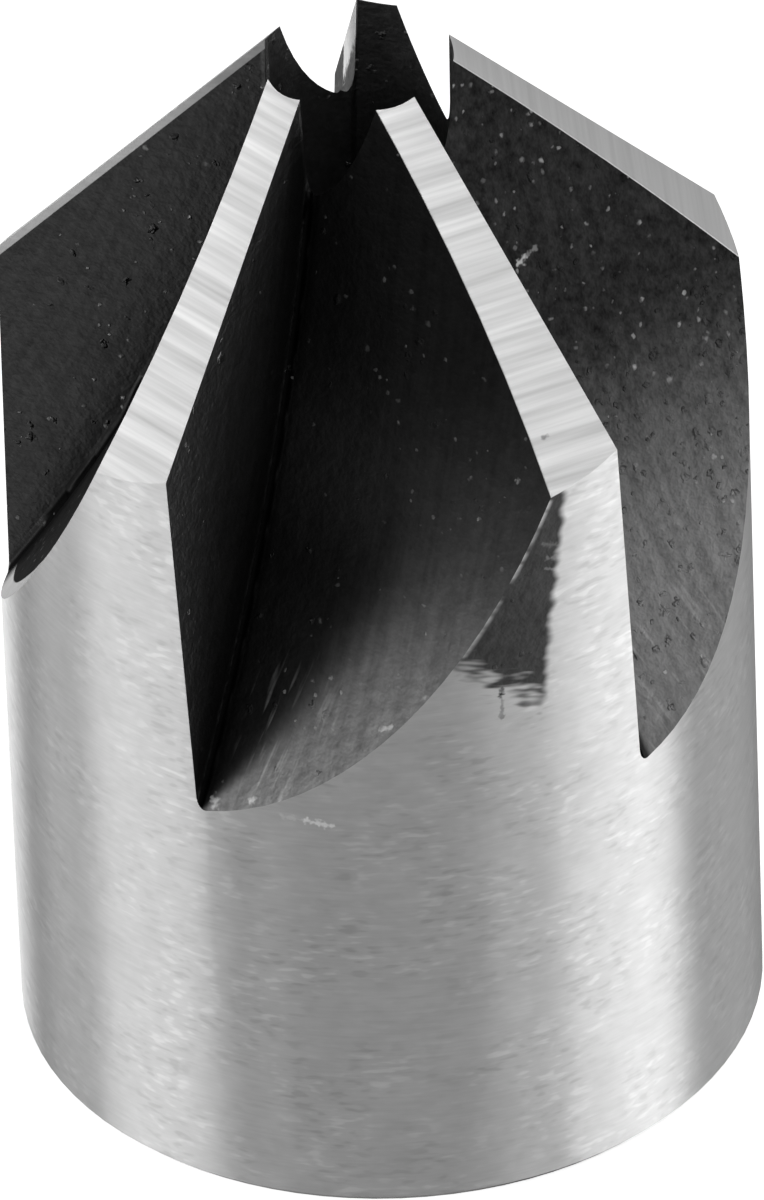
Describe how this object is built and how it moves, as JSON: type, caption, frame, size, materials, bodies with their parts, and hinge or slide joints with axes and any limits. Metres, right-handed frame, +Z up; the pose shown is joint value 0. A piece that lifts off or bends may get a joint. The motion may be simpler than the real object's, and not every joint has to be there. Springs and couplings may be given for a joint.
{
  "type": "countersink bit",
  "caption": "Slip-on countersink: a hollow fluted cutter with a conical cutting end, a through bore for a twist drill and a grub screw that clamps it.",
  "frame": {"origin": "centre of the flat base, on the tool's axis", "axes": "+Z runs up the tool's axis to the cutting end, and -Y is the front, opposite the grub screw"},
  "size_m": [0.016, 0.016, 0.0242],
  "materials": {
    "high_speed_steel": "ground bright on the outside, base and lands, dark as milled in the flutes and bore",
    "screw_steel": "black oxide"
  },
  "bodies": {
    "body": {"countersink_body": "high_speed_steel"},
    "screw": {"grub_screw": "screw_steel"}
  },
  "joints": [
    {"name": "clamp_screw_travel", "type": "slide", "parent": "body", "child": "screw", "axis": [0, 1, 0], "range_m": [-0.0011, 0.002]}
  ]
}
